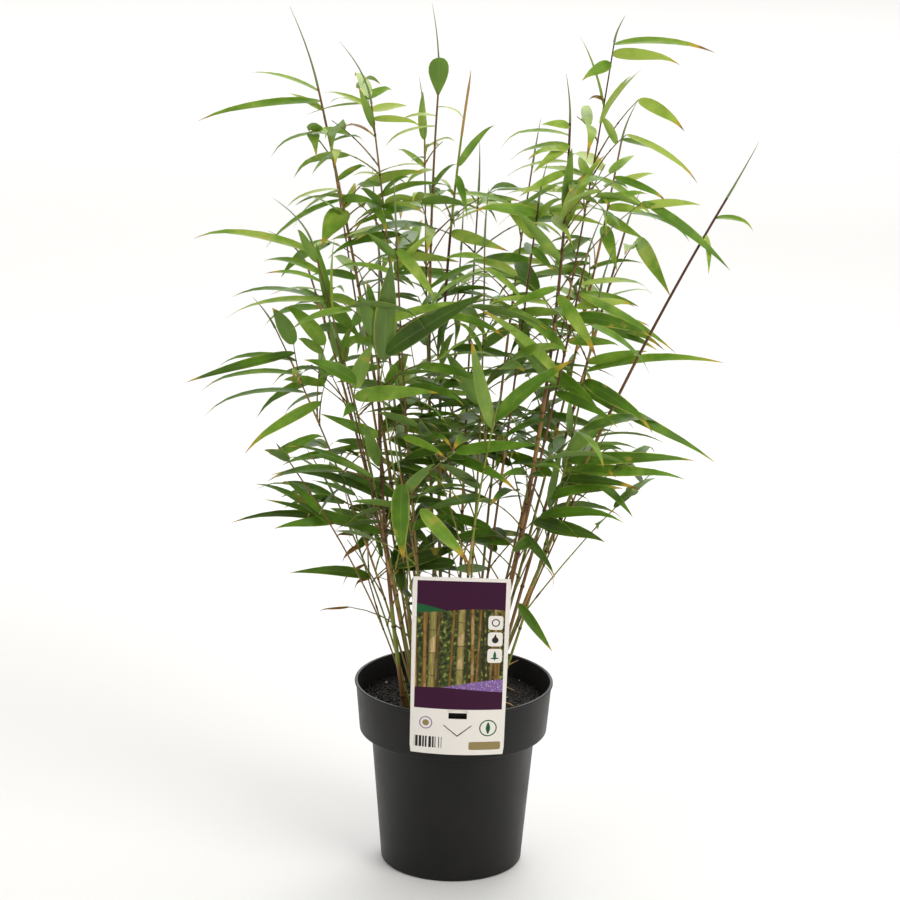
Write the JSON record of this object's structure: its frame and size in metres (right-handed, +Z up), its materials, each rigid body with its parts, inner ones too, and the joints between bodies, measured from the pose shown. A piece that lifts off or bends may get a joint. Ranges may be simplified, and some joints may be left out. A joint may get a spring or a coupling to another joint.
{
  "type": "potted ornamental bamboo",
  "caption": "Clump of slender leafy bamboo canes growing from dark soil in a round black nursery pot, with a printed plant card hooked over its rim.",
  "frame": {"origin": "middle of the pot's flat underside", "axes": "+Z up along the pot's axis and the canes; the plant card is on the -Y side, which is the front, and +X is to the right of someone who faces the card"},
  "size_m": [0.543, 0.3137, 0.865],
  "materials": {
    "pot_plastic": "satin",
    "soil": "matte",
    "card": "satin",
    "bamboo": "satin"
  },
  "bodies": {
    "root": {"pot": "pot_plastic", "soil": "soil", "plant_card": "card", "cane_01": "bamboo", "cane_02": "bamboo", "cane_03": "bamboo", "cane_04": "bamboo", "cane_05": "bamboo", "cane_06": "bamboo", "cane_07": "bamboo", "cane_08": "bamboo", "cane_09": "bamboo", "cane_10": "bamboo", "cane_11": "bamboo", "cane_12": "bamboo", "cane_13": "bamboo", "cane_14": "bamboo", "cane_15": "bamboo", "cane_16": "bamboo", "cane_17": "bamboo", "cane_18": "bamboo", "cane_19": "bamboo", "cane_20": "bamboo", "cane_21": "bamboo", "cane_22": "bamboo", "cane_23": "bamboo", "cane_24": "bamboo", "cane_25": "bamboo", "cane_26": "bamboo", "cane_27": "bamboo", "cane_28": "bamboo", "cane_29": "bamboo", "cane_30": "bamboo", "cane_31": "bamboo"}
  },
  "joints": []
}
